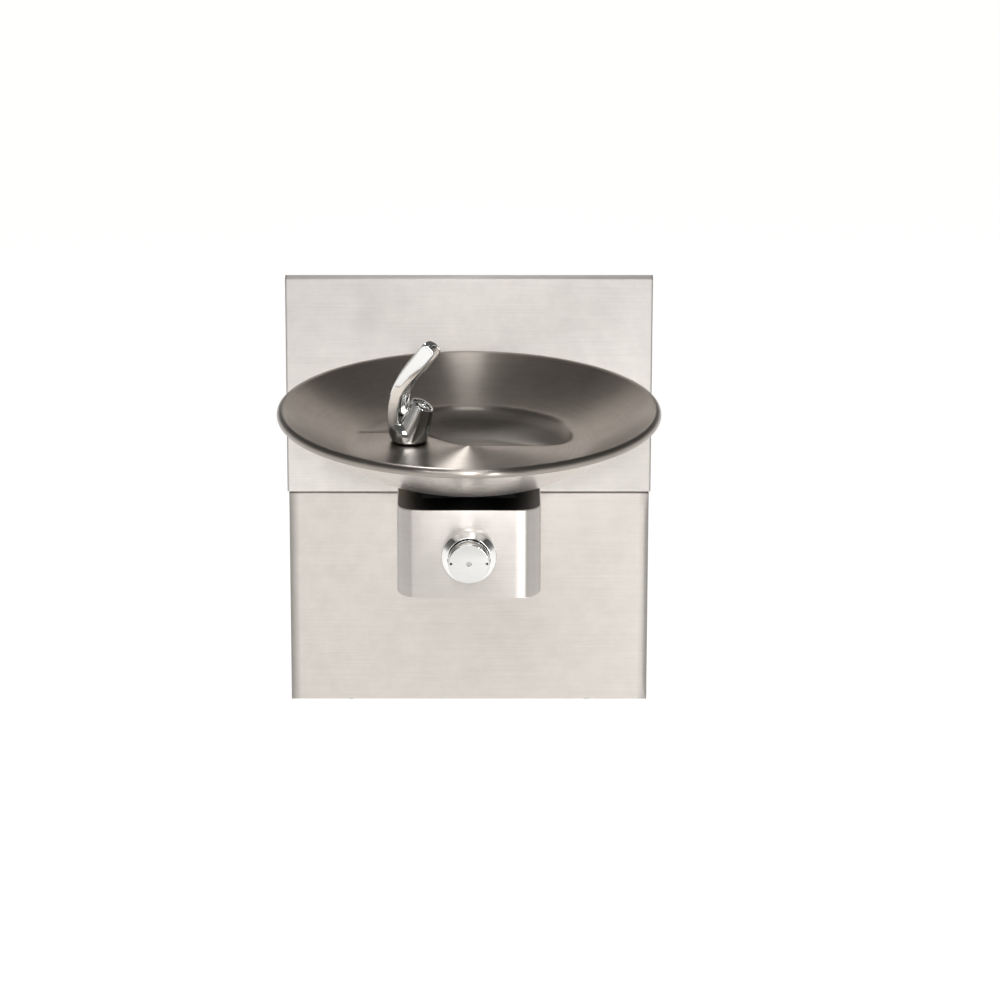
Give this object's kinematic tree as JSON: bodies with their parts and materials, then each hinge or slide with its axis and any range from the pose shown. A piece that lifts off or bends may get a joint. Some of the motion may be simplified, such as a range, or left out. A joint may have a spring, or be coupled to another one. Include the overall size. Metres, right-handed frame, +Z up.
{
  "type": "wall-mounted drinking fountain",
  "caption": "Wall-hung stainless drinking fountain: round sculpted bowl on a boxed arm, shielded bubbler, front push button, panelled back, drain and supply plumbing behind.",
  "frame": {"origin": "on the wall plane at the wall plate's back face, midway across the panels and half-way up them", "axes": "+Y into the wall, +Z up, +X to the user's right, so the bowl and button face -Y"},
  "size_m": [0.4632, 0.6126, 0.5621],
  "materials": {
    "satin_stainless": "satin horizontal-grain stainless sheet",
    "bowl_stainless": "satin polished stainless sheet, finer than the panels",
    "polished_chrome": "polished chrome plate",
    "zinc_steel": "dull zinc-plated steel",
    "plain_brass": "plain machined brass",
    "copper_tube": null,
    "black_rubber": "black washer rubber",
    "spring_steel": "drawn spring wire"
  },
  "bodies": {
    "fixed": {"access_panel_screw_left": "zinc_steel", "access_panel_screw_right": "zinc_steel", "arm_bolt_lower_left": "zinc_steel", "arm_bolt_lower_right": "zinc_steel", "arm_bolt_upper_left": "zinc_steel", "arm_bolt_upper_right": "zinc_steel", "arm_bottom_cover": "satin_stainless", "arm_shell": "satin_stainless", "bowl_basin": "bowl_stainless", "bowl_saddle": "zinc_steel", "bowl_shell": "satin_stainless", "bubbler_body": "polished_chrome", "bubbler_gasket": "black_rubber", "bubbler_lock_nut": "plain_brass", "bubbler_nozzle": "polished_chrome", "bubbler_shank": "plain_brass", "bubbler_spacer": "plain_brass", "bubbler_tube": "copper_tube", "bubbler_tube_nut": "plain_brass", "button_escutcheon": "polished_chrome", "cover_screw_front_left": "zinc_steel", "cover_screw_front_right": "zinc_steel", "cover_screw_rear_left": "zinc_steel", "cover_screw_rear_right": "zinc_steel", "drain_fitting": "polished_chrome", "drain_gasket": "black_rubber", "drain_lock_nut": "plain_brass", "escutcheon_lock_nut": "plain_brass", "inlet_tube": "copper_tube", "lower_access_panel": "satin_stainless", "panel_bracket": "zinc_steel", "return_spring": "spring_steel", "saddle_bolt_front_left": "zinc_steel", "saddle_bolt_front_right": "zinc_steel", "saddle_bolt_rear_left": "zinc_steel", "saddle_bolt_rear_right": "zinc_steel", "stop_inlet_nut": "polished_chrome", "stop_outlet_nut": "plain_brass", "stop_valve_body": "polished_chrome", "tail_slip_nut": "polished_chrome", "trap_bend": "polished_chrome", "trap_inlet_nut": "polished_chrome", "trap_outlet_arm": "polished_chrome", "trap_outlet_nut": "polished_chrome", "upper_back_panel": "satin_stainless", "valve_body": "plain_brass", "valve_inlet_nut": "plain_brass", "valve_outlet_nut": "plain_brass", "wall_bolt_lower_left": "zinc_steel", "wall_bolt_lower_right": "zinc_steel", "wall_bolt_upper_left": "zinc_steel", "wall_bolt_upper_right": "zinc_steel", "wall_plate": "zinc_steel", "waste_pipe": "polished_chrome", "waste_strainer": "polished_chrome"},
    "button": {"push_button": "polished_chrome", "valve_stem": "plain_brass"},
    "flow_adjuster": {"flow_screw": "zinc_steel"},
    "stop_handle": {"stop_valve_handle": "polished_chrome"}
  },
  "joints": [
    {"name": "button_press", "type": "slide", "parent": "fixed", "child": "button", "axis": [0, 1, 0], "range_m": [0, 0.006], "stiffness_N_per_m": 900, "springref_m": -0.004},
    {"name": "flow_adjust", "type": "hinge", "parent": "button", "child": "flow_adjuster", "pos_m": [0, -0.4045, 0.0432], "axis": [0, -1, 0], "range_deg": [-180, 180]},
    {"name": "stop_valve_turn", "type": "hinge", "parent": "fixed", "child": "stop_handle", "pos_m": [-0.06, 0.021, -0.11], "axis": [0, -1, 0], "range_deg": [-90, 0]}
  ]
}
